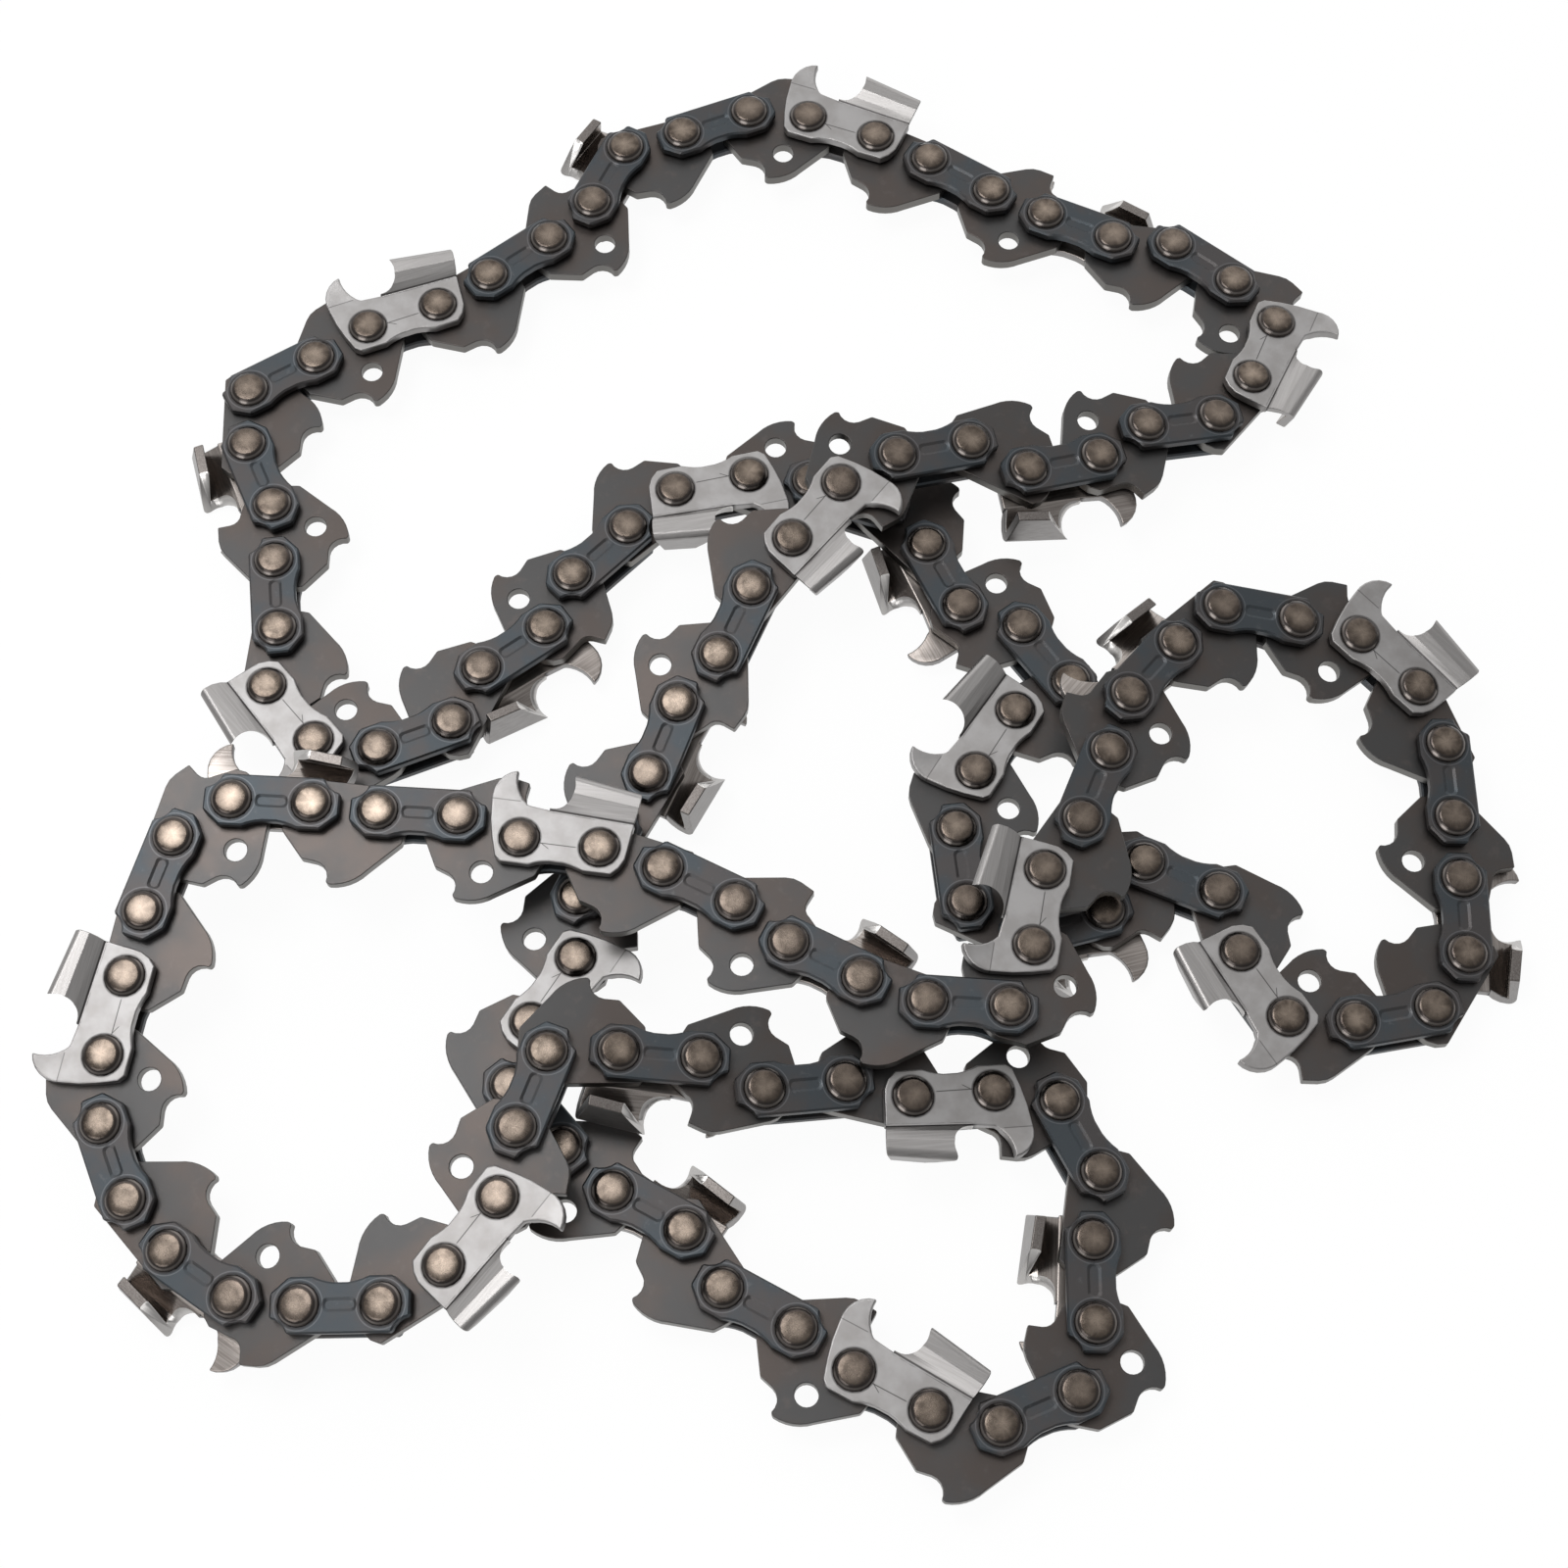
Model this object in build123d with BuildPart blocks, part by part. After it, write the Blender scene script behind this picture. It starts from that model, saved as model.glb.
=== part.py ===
from build123d import *
import os
from math import cos, hypot, radians, sin, sqrt
import numpy as np

# A closed saw chain lying on its side in a loose heap, in millimetres, with the table at Z = 0.
# Every link is drawn once in its own frame: X runs to the rear from its front rivet to its rear
# rivet, Y points outwards to the cutting side and Z follows the rivets. Copies are then placed
# along the route that the chain takes over the table.

# Spacing of the rivets in a side link (strap or cutter) and in a drive link
STRAP_SPACING = 9.0
DRIVE_SPACING = 7.5

# Plate thicknesses, and the play that lets the links turn and lean on each other
GAUGE = 1.47
PLATE = 1.2
SIDE_PLAY = 0.25
PIN_PLAY = 0.12

# Rivets
PIN_DIAMETER = 3.3
HEAD_DIAMETER = 4.7
HEAD_TOP_DIAMETER = 3.4
HEAD_HEIGHT = 0.75

# Tie straps: an eight-sided plate with scooped outer corners, a shallow waist on its inner edge
# and a round-ended recess pressed in between the rivets
STRAP_WIDTH = 6.0
STRAP_END_GAP = 1.2
STRAP_END_FLAT = 2.6
STRAP_CORNER = 1.2
SCOOP_RADIUS = 3.0
WAIST_DEPTH = 0.65
WAIST_LENGTH = 1.6
WAIST_MOUTH = 6.2
RECESS_LENGTH = 3.8
RECESS_WIDTH = 1.5
RECESS_DEPTH = 0.2

# Drive links: rounded ends and a tang with a hooked tip in front. Depths run inwards from the
# rivets, rises run back from the lowest point of the tang, and reaches run along the link from
# its middle.
LINK_END_RADIUS = 3.3
LINK_TOP_HEIGHT = 3.0
FLANK_DEPTH = 2.4
FLANK_REACH = 6.8
BELLY_DEPTH = 5.5
BELLY_REACH = 4.5
TANG_DEPTH = 8.75
HEEL_RISE = 0.85
HEEL_REACH = 2.3
SOLE_REACH = 0.75
TIP_RISE = 0.1
TIP_REACH = -0.85
NOTCH_RISE = 2.1
NOTCH_REACH = -1.55
NOTCH_BULGE = 0.6
BREAST_RISE = 2.2
BREAST_REACH = -3.75
SHOULDER_DEPTH = 3.8
SHOULDER_REACH = -6.05

# Every second drive link has a bumper on its outer edge and an oil hole in its tang
BUMPER_HEIGHT = 5.8
BUMPER_FOOT_REACH = -5.35
BUMPER_FOOT_HEIGHT = 2.8
BUMPER_FLAT_START = 0.15
BUMPER_FLAT_END = 2.85
BUMPER_HEEL_REACH = 3.05
BUMPER_HEEL_HEIGHT = 4.3
BUMPER_TOE_REACH = 5.25
BUMPER_TOE_HEIGHT = 2.85
BUMPER_BACK_RADIUS = 3.0
OIL_HOLE_DIAMETER = 2.6
OIL_HOLE_DEPTH = 5.1
OIL_HOLE_REACH = 1.05

# Cutters: a foot like a strap, a depth gauge in front, and a side plate that is set outwards above
# a crease and bent over into a tilted top plate. Sets run outwards from the foot's outer face, and
# the plate's rear end leans back towards the corner of the bend.
CREASE_HEIGHT = 3.5
CREASE_DROP = 0.45
TOP_HEIGHT = 8.25
TOP_DROP = 1.5
TOP_WIDTH = 4.75
TOP_TILT = 0.75
TOP_FRONT = 1.7
TOP_OVERHANG = 0.25
TOP_RAKE = 0.26
SIDE_SET_FRONT = 1.6
SIDE_SET_REAR = 1.35
KNEE_RISE = 0.45
KNEE_SET = 0.8
CORNER_RADIUS = 0.8
CREASE_OVERLAP = 0.8
FILE_RADIUS = 2.6
FILE_AHEAD = 1.3
FILE_DROP = 1.85
FILE_ANGLE = 30
FILE_LENGTH = 18.0
GULLET_HEIGHT = 3.7
GULLET_REACH = -4.3
HORN_HEIGHT = 7.65
HORN_TIP_REACH = -5.8
HORN_BACK_REACH = -5.45
HORN_BACK_HEIGHT = 5.2
HORN_REACH = -8.3
HORN_NOSE_HEIGHT = 5.2
HORN_NOSE_RADIUS = 2.6
HORN_FOOT_HEIGHT = 3.9
TOE_REACH = -6.6
TOE_HEIGHT = -2.9
FOOT_CORNER = 2.0

# Room between two strands where one lies over the other
CROSSING_GAP = 0.3

# How the heap settles: passes that bring the rivets to their spacing, and how strongly the rivets
# keep their heights, neighbouring links keep the same lean and every link stays level
SETTLE_PASSES = 600
HEIGHT_WEIGHT = 10
LEAN_WEIGHT = 30
LEVEL_WEIGHT = 1

# The route: centre of each side link, counted in pitches of one side link and one drive link,
# and its heading in degrees from +X. Links are numbered from 1 against the chain's travel.
SIDE_LINKS = [
    (-3.74, 2.70, 30), (-2.88, 3.19, 22), (-2.05, 3.70, 37), (-1.39, 4.43, 63),
    (-0.57, 4.91, 20), (0.38, 4.87, -19), (1.28, 4.43, -32), (2.16, 3.97, -24),
    (3.09, 3.65, -38), (3.49, 2.86, -116), (2.83, 2.22, -170), (1.92, 1.80, -167),
    (0.99, 1.85, -166), (0.17, 1.35, -131), (-0.39, 0.57, -118), (-0.87, -0.26, -113),
    (-1.34, -1.18, -116), (-1.61, -2.10, -122), (-1.70, -2.98, -50), (-0.94, -3.62, -29),
    (-0.21, -4.27, -29), (0.63, -4.79, -28), (1.56, -4.90, 23), (1.94, -4.09, 89),
    (1.89, -3.13, 116), (1.04, -2.86, -173), (0.06, -2.84, -172), (-0.88, -2.67, 177),
    (-1.70, -2.92, -110), (-2.05, -3.85, -129), (-2.85, -4.28, -180), (-3.80, -4.07, 145),
    (-4.45, -3.31, 112), (-4.50, -2.33, 76), (-4.26, -1.34, 71), (-3.51, -0.87, -4),
    (-2.54, -0.96, -4), (-1.57, -1.18, -8), (-0.62, -1.49, -27), (0.22, -2.02, -27),
    (1.15, -2.32, -4), (1.65, -1.64, 78), (2.05, -0.76, 67), (2.48, 0.11, 51),
    (3.24, 0.61, -7), (4.19, 0.32, -45), (4.55, -0.59, -90), (4.56, -1.58, -91),
    (4.04, -2.28, -170), (3.17, -2.07, 122), (2.68, -1.26, 151), (1.87, -1.64, -165),
    (1.13, -1.20, 92), (1.39, -0.28, 61), (1.82, 0.42, 135), (1.09, 1.03, 118),
    (0.39, 1.69, 160), (-0.58, 1.76, -166), (-1.36, 1.23, -135), (-1.97, 0.45, -142),
    (-2.63, -0.21, -157), (-3.51, -0.05, 130), (-3.68, 0.87, 96), (-3.86, 1.84, 114),
]

# Stretches of rivets that lie on the table (layer 0) or over another strand (layer 1), the front
# rivet of the first side link being number 1
LAYERS = [(1, 19, 0), (26, 27, 1), (34, 50, 0), (57, 58, 1.16), (64, 65, 0.2), (71, 86, 1), (94, 128, 0)]

inner_face = GAUGE / 2 + SIDE_PLAY
outer_face = inner_face + PLATE
half_thickness = outer_face + HEAD_HEIGHT
layer_height = 2 * half_thickness + CROSSING_GAP
pitch = STRAP_SPACING + DRIVE_SPACING
front_rivet = (-STRAP_SPACING / 2, 0)
rear_rivet = (STRAP_SPACING / 2, 0)
strap_end = STRAP_SPACING / 2 + (DRIVE_SPACING - STRAP_END_GAP) / 2
strap_corner = (STRAP_SPACING / 2 + STRAP_CORNER, STRAP_WIDTH / 2)


def settle_plan(rivets, spacings):
    """Moves the rivets by small steps until every two neighbours are at their spacing."""
    points = [list(point) for point in rivets]
    for _ in range(SETTLE_PASSES):
        for index, spacing in enumerate(spacings):
            start = points[index]
            end = points[(index + 1) % len(points)]
            step_x = end[0] - start[0]
            step_y = end[1] - start[1]
            share = (1 - spacing / hypot(step_x, step_y)) / 2
            start[0] += share * step_x
            start[1] += share * step_y
            end[0] -= share * step_x
            end[1] -= share * step_y
    return points


def settle_heights(plan, pinned):
    """Finds rivet heights and link leans that bend least between the rivets with a set height."""
    count = len(plan)
    rows = []
    goals = []

    def ask(goal, weight, *terms):
        row = np.zeros(3 * count)
        for column, factor in terms:
            row[column] += weight * factor
        rows.append(row)
        goals.append(weight * goal)

    for link in range(count):
        after = (link + 1) % count
        step_x = plan[after][0] - plan[link][0]
        step_y = plan[after][1] - plan[link][1]
        lean_x = count + link
        lean_y = 2 * count + link
        ask(0, HEIGHT_WEIGHT, (after, 1), (link, -1), (lean_x, -step_x), (lean_y, -step_y))
        ask(0, LEAN_WEIGHT, (lean_x, 1), (count + after, -1))
        ask(0, LEAN_WEIGHT, (lean_y, 1), (2 * count + after, -1))
        ask(0, LEVEL_WEIGHT, (lean_x, 1))
        ask(0, LEVEL_WEIGHT, (lean_y, 1))
    for rivet, height in pinned.items():
        ask(height, HEIGHT_WEIGHT, (rivet, 1))
    found = np.linalg.lstsq(np.array(rows), np.array(goals), rcond=None)[0]
    return found[:count], list(zip(found[count : 2 * count], found[2 * count :]))


# Where the chain lies: rivet points first, then a frame for every link
route = []
for centre_x, centre_y, heading in SIDE_LINKS:
    along_x = STRAP_SPACING / 2 * cos(radians(heading))
    along_y = STRAP_SPACING / 2 * sin(radians(heading))
    route.append((centre_x * pitch - along_x, centre_y * pitch - along_y))
    route.append((centre_x * pitch + along_x, centre_y * pitch + along_y))
spacings = [STRAP_SPACING, DRIVE_SPACING] * len(SIDE_LINKS)
pinned = {}
for first, last, layer in LAYERS:
    for number in range(first, last + 1):
        pinned[number - 1] = layer * layer_height
flat_plan = settle_plan(route, spacings)
heights, leans = settle_heights(flat_plan, pinned)
rises = [heights[(i + 1) % len(heights)] - heights[i] for i in range(len(heights))]
plan = settle_plan(flat_plan, [sqrt(s * s - rise * rise) for s, rise in zip(spacings, rises)])
rivet_points = [Vector(x, y, z) for (x, y), z in zip(plan, heights)]

link_planes = []
for index, (lean_x, lean_y) in enumerate(leans):
    start = rivet_points[index]
    end = rivet_points[(index + 1) % len(rivet_points)]
    along = (end - start).normalized()
    upright = Vector(-lean_x, -lean_y, 1)
    normal = upright - along * upright.dot(along)
    link_planes.append(Plane(origin=(start + end) * 0.5, x_dir=along, z_dir=normal))
side_planes = link_planes[0::2]
drive_planes = link_planes[1::2]
rivet_planes = []
for index, point in enumerate(rivet_points):
    side = side_planes[index // 2]
    rivet_planes.append(Plane(origin=point, x_dir=side.x_dir, z_dir=side.z_dir))


with BuildPart() as rivet:
    with BuildSketch(Plane.XZ):
        with BuildLine():
            Polyline(
                (0, half_thickness),
                (HEAD_TOP_DIAMETER / 2, half_thickness),
                (HEAD_DIAMETER / 2, outer_face),
                (PIN_DIAMETER / 2, outer_face),
                (PIN_DIAMETER / 2, 0),
            )
            mirror(about=Plane.XZ)
            Line((0, half_thickness), (0, -half_thickness))
        make_face()
    revolve(axis=Axis.Z)


with BuildPart() as tie_strap:
    with BuildSketch(Plane.XY.offset(inner_face)):
        with BuildLine():
            Line((0, STRAP_WIDTH / 2), strap_corner)
            RadiusArc(strap_corner, (strap_end, STRAP_END_FLAT / 2), -SCOOP_RADIUS)
            Polyline(
                (strap_end, STRAP_END_FLAT / 2),
                (strap_end, -STRAP_END_FLAT / 2),
                (rear_rivet[0] + STRAP_CORNER, -STRAP_WIDTH / 2),
                (WAIST_MOUTH / 2, -STRAP_WIDTH / 2),
                (WAIST_LENGTH / 2, WAIST_DEPTH - STRAP_WIDTH / 2),
                (0, WAIST_DEPTH - STRAP_WIDTH / 2),
            )
            mirror(about=Plane.YZ)
        make_face()
        with Locations(front_rivet, rear_rivet):
            Circle(PIN_DIAMETER / 2, mode=Mode.SUBTRACT)
    extrude(amount=PLATE)
    with BuildSketch(Plane.XY.offset(outer_face)):
        SlotOverall(RECESS_LENGTH, RECESS_WIDTH)
    extrude(amount=-RECESS_DEPTH, mode=Mode.SUBTRACT)


half_drive = DRIVE_SPACING / 2
link_end = half_drive + LINK_END_RADIUS
link_top = half_drive + sqrt(LINK_END_RADIUS**2 - LINK_TOP_HEIGHT**2)
heel = (HEEL_REACH, HEEL_RISE - TANG_DEPTH)
tang_tip = (TIP_REACH, TIP_RISE - TANG_DEPTH)
notch_mouth = (NOTCH_REACH, NOTCH_RISE - TANG_DEPTH)
outer_front = (-link_top, LINK_TOP_HEIGHT)
outer_rear = (link_top, LINK_TOP_HEIGHT)

with BuildPart() as plain_link:
    with BuildSketch(Plane.XY.offset(-GAUGE / 2)):
        with BuildLine():
            Polyline((link_end, 0), (FLANK_REACH, -FLANK_DEPTH), (BELLY_REACH, -BELLY_DEPTH), heel)
            ThreePointArc(heel, (SOLE_REACH, -TANG_DEPTH), tang_tip)
            SagittaArc(tang_tip, notch_mouth, -NOTCH_BULGE)
            Polyline(
                notch_mouth,
                (BREAST_REACH, BREAST_RISE - TANG_DEPTH),
                (SHOULDER_REACH, -SHOULDER_DEPTH),
                (-link_end, 0),
            )
            RadiusArc((-link_end, 0), outer_front, LINK_END_RADIUS)
            Line(outer_front, outer_rear)
            RadiusArc(outer_rear, (link_end, 0), LINK_END_RADIUS)
        make_face()
        with Locations((-half_drive, 0), (half_drive, 0)):
            Circle(PIN_DIAMETER / 2 + PIN_PLAY, mode=Mode.SUBTRACT)
    extrude(amount=GAUGE)


bumper_heel = (BUMPER_HEEL_REACH, BUMPER_HEEL_HEIGHT)
bumper_toe = (BUMPER_TOE_REACH, BUMPER_TOE_HEIGHT)

with BuildPart() as bumper_link:
    add(plain_link.part)
    with BuildSketch(Plane.XY.offset(-GAUGE / 2)):
        with BuildLine():
            Polyline(
                (half_drive, 0),
                (BUMPER_FOOT_REACH, 0),
                (BUMPER_FOOT_REACH, BUMPER_FOOT_HEIGHT),
                (BUMPER_FLAT_START, BUMPER_HEIGHT),
                (BUMPER_FLAT_END, BUMPER_HEIGHT),
                bumper_heel,
            )
            RadiusArc(bumper_heel, bumper_toe, -BUMPER_BACK_RADIUS)
            Line(bumper_toe, (half_drive, 0))
        make_face()
        with Locations((-half_drive, 0), (half_drive, 0)):
            Circle(PIN_DIAMETER / 2 + PIN_PLAY, mode=Mode.SUBTRACT)
    extrude(amount=GAUGE)
    with Locations((OIL_HOLE_REACH, -OIL_HOLE_DEPTH, GAUGE / 2)):
        Hole(OIL_HOLE_DIAMETER / 2)


gullet_front = (GULLET_REACH, GULLET_HEIGHT)
horn_nose = (HORN_REACH, HORN_NOSE_HEIGHT)
horn_tip = (HORN_TIP_REACH, HORN_HEIGHT)


def bent_plate(station, overhang, rake, crease, top, side_set):
    """Draws the section of a cutter's side plate and top plate, seen along the chain."""
    slant = overhang / (top - crease)
    knee = crease + KNEE_RISE * (top - crease)
    knee_set = outer_face + KNEE_SET * side_set
    corner = outer_face + side_set
    free_edge = corner - TOP_WIDTH
    root = crease - CREASE_OVERLAP
    base = (station - slant * crease - rake * outer_face, 0, 0)
    plane = Plane(origin=base, x_dir=(slant, 1, 0), z_dir=(1, -slant, -rake))
    with BuildSketch(plane) as section:
        with BuildLine():
            Line((root, outer_face), (crease, outer_face))
            FilletPolyline(
                (crease, outer_face),
                (knee, knee_set),
                (top, corner),
                (top - TOP_TILT, free_edge),
                radius=CORNER_RADIUS,
            )
            Polyline(
                (top - TOP_TILT, free_edge),
                (top - TOP_TILT - PLATE, free_edge),
                (top - PLATE, corner - PLATE),
                (knee, knee_set - PLATE),
                (crease, inner_face),
                (root, inner_face),
                (root, outer_face),
            )
        make_face()
    return section.sketch


with BuildPart() as left_cutter:
    with BuildSketch(Plane.XY.offset(inner_face)):
        with BuildLine():
            Polyline(
                gullet_front,
                (-TOP_FRONT, GULLET_HEIGHT),
                (-TOP_FRONT, CREASE_HEIGHT),
                (strap_end, CREASE_HEIGHT - CREASE_DROP),
                (strap_end, -STRAP_END_FLAT / 2),
                (rear_rivet[0] + FOOT_CORNER, -STRAP_WIDTH / 2),
                (WAIST_MOUTH / 2, -STRAP_WIDTH / 2),
                (WAIST_LENGTH / 2, WAIST_DEPTH - STRAP_WIDTH / 2),
                (-WAIST_LENGTH / 2, WAIST_DEPTH - STRAP_WIDTH / 2),
                (-WAIST_MOUTH / 2, -STRAP_WIDTH / 2),
                (TOE_REACH, TOE_HEIGHT),
                (HORN_REACH, HORN_FOOT_HEIGHT),
                horn_nose,
            )
            RadiusArc(horn_nose, horn_tip, HORN_NOSE_RADIUS)
            ThreePointArc(horn_tip, (HORN_BACK_REACH, HORN_BACK_HEIGHT), gullet_front)
        make_face()
    extrude(amount=PLATE)
    loft(
        [
            bent_plate(-TOP_FRONT, 0, 0, CREASE_HEIGHT, TOP_HEIGHT, SIDE_SET_FRONT),
            bent_plate(
                strap_end,
                TOP_OVERHANG,
                TOP_RAKE,
                CREASE_HEIGHT - CREASE_DROP,
                TOP_HEIGHT - TOP_DROP,
                SIDE_SET_REAR,
            ),
        ],
        ruled=True,
    )
    with Locations(Location((-FILE_AHEAD, TOP_HEIGHT - FILE_DROP, outer_face), (0, -FILE_ANGLE, 0))):
        Cylinder(FILE_RADIUS, FILE_LENGTH, mode=Mode.SUBTRACT)
    with Locations(front_rivet, rear_rivet):
        Hole(PIN_DIAMETER / 2)


with BuildPart() as right_cutter:
    mirror(left_cutter.part, about=Plane.XY)


# Which link sits where. Odd side links are two straps. Of the even ones, every second is a
# left-hand cutter on the upper side and the others are right-hand cutters on the table side,
# each with a single strap behind it.
turned = Rotation(0, 180, 0)
strap_pairs = [Location(plane) for plane in side_planes[0::2]]
left_places = [Location(plane) for plane in side_planes[1::4]]
right_places = [Location(plane) for plane in side_planes[3::4]]
groups = {
    "rivets": (rivet, [Location(plane) for plane in rivet_planes]),
    "bumper_drive_links": (bumper_link, [Location(plane) for plane in drive_planes[0::2]]),
    "plain_drive_links": (plain_link, [Location(plane) for plane in drive_planes[1::2]]),
    "near_tie_straps": (tie_strap, strap_pairs),
    "far_tie_straps": (tie_strap, [place * turned for place in strap_pairs]),
    "near_backing_straps": (tie_strap, right_places),
    "far_backing_straps": (tie_strap, [place * turned for place in left_places]),
}
for number, place in enumerate(left_places, start=1):
    groups[f"left_cutter_{number:02d}"] = (left_cutter, [place])
for number, place in enumerate(right_places, start=1):
    groups[f"right_cutter_{number:02d}"] = (right_cutter, [place])

# The heap stands on the table with the middle of its outline over the origin
boxes = [link.part.moved(place).bounding_box() for link, places in groups.values() for place in places]
middle_x = (min(box.min.X for box in boxes) + max(box.max.X for box in boxes)) / 2
middle_y = (min(box.min.Y for box in boxes) + max(box.max.Y for box in boxes)) / 2
rest = Location((-middle_x, -middle_y, -min(box.min.Z for box in boxes)))

os.makedirs("parts", exist_ok=True)
for name, (link, places) in groups.items():
    with BuildPart() as piece:
        with Locations(*[rest * place for place in places]):
            add(link.part)
    piece.part.label = name
    export_step(piece.part, f"parts/{name}.step")
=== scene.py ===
from itertools import combinations
from math import pi, radians

import bpy
import numpy as np
from mathutils import Matrix, Vector


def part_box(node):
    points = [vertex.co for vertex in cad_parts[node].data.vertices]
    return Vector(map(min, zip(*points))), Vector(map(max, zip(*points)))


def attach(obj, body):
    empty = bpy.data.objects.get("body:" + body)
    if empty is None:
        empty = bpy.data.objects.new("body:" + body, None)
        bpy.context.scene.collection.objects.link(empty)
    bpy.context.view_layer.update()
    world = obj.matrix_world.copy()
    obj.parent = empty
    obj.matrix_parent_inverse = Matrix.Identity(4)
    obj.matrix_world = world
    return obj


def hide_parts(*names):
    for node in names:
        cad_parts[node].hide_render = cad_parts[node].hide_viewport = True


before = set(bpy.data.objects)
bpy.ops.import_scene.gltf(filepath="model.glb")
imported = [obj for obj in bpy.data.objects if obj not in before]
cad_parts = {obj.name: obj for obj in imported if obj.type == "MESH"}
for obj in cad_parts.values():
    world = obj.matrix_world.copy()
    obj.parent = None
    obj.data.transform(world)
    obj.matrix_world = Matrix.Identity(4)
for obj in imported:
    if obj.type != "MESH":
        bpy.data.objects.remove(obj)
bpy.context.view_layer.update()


# The lay of the chain. A link is held by two rivets, so where the rivets stand says where every
# link lies and which way it faces. Links are modelled in millimetres with X to the rear, Y to the
# cutting side and Z along the rivets, and are then laid down at these places.
MILLIMETRE = Matrix.Scale(0.001, 4)
STRAP_SPACING = 0.009
DRIVE_SPACING = 0.0075
LEVEL_REACH = 0.0006


def solids_of(node):
    """Centre of mass of every solid in a CAD node, with its long, middle and short directions."""
    bpy.ops.object.select_all(action="DESELECT")
    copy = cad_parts[node].copy()
    copy.data = copy.data.copy()
    bpy.context.collection.objects.link(copy)
    copy.select_set(True)
    bpy.context.view_layer.objects.active = copy
    bpy.ops.object.mode_set(mode="EDIT")
    bpy.ops.mesh.select_all(action="SELECT")
    bpy.ops.mesh.remove_doubles(threshold=1e-6)
    bpy.ops.mesh.separate(type="LOOSE")
    bpy.ops.object.mode_set(mode="OBJECT")
    solids = []
    for solid in bpy.context.selected_objects:
        points = np.empty(len(solid.data.vertices) * 3)
        solid.data.vertices.foreach_get("co", points)
        points = points.reshape(-1, 3)
        middle = points.mean(0)
        faces = np.empty(len(solid.data.loops), int)
        solid.data.loops.foreach_get("vertex_index", faces)
        corners = points[faces].reshape(-1, 3, 3) - middle
        share = np.einsum("ij,ij->i", corners[:, 0], np.cross(corners[:, 1], corners[:, 2]))
        centre = middle + (corners.sum(1) * share[:, None]).sum(0) / share.sum() / 4
        axes = np.linalg.svd(points - middle, full_matrices=False)[2]
        upward = [Vector(axis) * (1 if axis[2] > 0 else -1) for axis in axes]
        solids.append((Vector(centre), upward))
    bpy.ops.object.delete()
    return solids


def place(start, end, upright):
    """The frame of a link between two rivets."""
    along = (end - start).normalized()
    upright = (upright - along * upright.dot(along)).normalized()
    turn = Matrix((along, upright.cross(along), upright)).transposed().to_4x4()
    return Matrix.Translation((start + end) / 2) @ turn


rivets = [(centre, axes[0]) for centre, axes in solids_of("rivets")]
rivet_places = []
drive_ends = []
drive_places = {}
for node in ("bumper_drive_links", "plain_drive_links"):
    drive_places[node] = []
    for centre, axes in solids_of(node):
        level = [r for r in rivets if abs((r[0] - centre).dot(axes[2])) < LEVEL_REACH]
        level.sort(key=lambda r: (r[0] - centre).length)
        pair = min(combinations(level[:4], 2),
                   key=lambda two: abs((two[0][0] - two[1][0]).length - DRIVE_SPACING))
        outward = (pair[0][0] + pair[1][0]) / 2 - centre
        if (pair[1][0] - pair[0][0]).dot(outward.cross(axes[2])) < 0:
            pair = pair[::-1]
        drive_ends.append(pair)
        drive_places[node].append(place(pair[0][0], pair[1][0], axes[2]))

side_places = []
for _, front in drive_ends:
    rear = min((ends[0] for ends in drive_ends),
               key=lambda r: abs((r[0] - front[0]).length - STRAP_SPACING))
    spot = place(front[0], rear[0], front[1])
    side_places.append(spot)
    for end in (front, rear):
        rivet_places.append(Matrix.Translation(end[0]) @ spot.to_3x3().to_4x4())

cutter_places = {}
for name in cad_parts:
    if "cutter" in name:
        low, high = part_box(name)
        cutter_places[name] = min(side_places,
                                  key=lambda spot: (spot.translation - (low + high) / 2).length)
left_places = [spot for name, spot in cutter_places.items() if name.startswith("left")]
right_places = [spot for name, spot in cutter_places.items() if name.startswith("right")]
strap_places = [spot for spot in side_places if spot not in left_places + right_places]


# Rivets. Hardened pins turned from bar steel, pushed through straps and drive links and spun over
# at both ends. Spinning leaves a dark bevelled head with a burnished, slightly domed top, whose
# colour is painted lighter at the centre and with faint rays: a painted highlight.
RIVET_SIDES = 16
RIVET_STEPS = [(1.65, 1.985), (2.35, 1.985), (2.35, 2.2), (2.24, 2.46), (1.98, 2.7), (1.6, 2.84),
               (0.95, 2.92)]
SKIRT_BROWN = (0.05, 0.043, 0.04, 1)
SHOULDER_STEEL = (0.16, 0.145, 0.135, 1)
BRONZE_DARK = (0.036, 0.028, 0.023, 1)
BRONZE_LIGHT = (0.31, 0.252, 0.205, 1)
BRONZE_DULL = (0.1, 0.082, 0.071, 1)
LINK_STEP = 0.618
NODE_STEP = 0.377

bpy.ops.object.select_all(action="DESELECT")
bpy.ops.mesh.primitive_circle_add(vertices=RIVET_SIDES, radius=RIVET_STEPS[0][0],
                                  fill_type="NOTHING")
rivet = bpy.context.object
bpy.ops.object.mode_set(mode="EDIT")
reached = (RIVET_STEPS[0][0], 0)
for radius, height in RIVET_STEPS:
    bpy.ops.mesh.extrude_region_move(TRANSFORM_OT_translate={"value": (0, 0, height - reached[1])})
    bpy.ops.transform.resize(value=(radius / reached[0], radius / reached[0], 1))
    reached = (radius, height)
bpy.ops.mesh.edge_face_add()
bpy.ops.object.mode_set(mode="OBJECT")
halves = rivet.modifiers.new("both heads", "MIRROR")
halves.use_axis = (False, False, True)
bpy.ops.object.modifier_apply(modifier=halves.name)


def take(link):
    """Makes a link the only one selected."""
    bpy.ops.object.select_all(action="DESELECT")
    link.select_set(True)
    bpy.context.view_layer.objects.active = link


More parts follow.
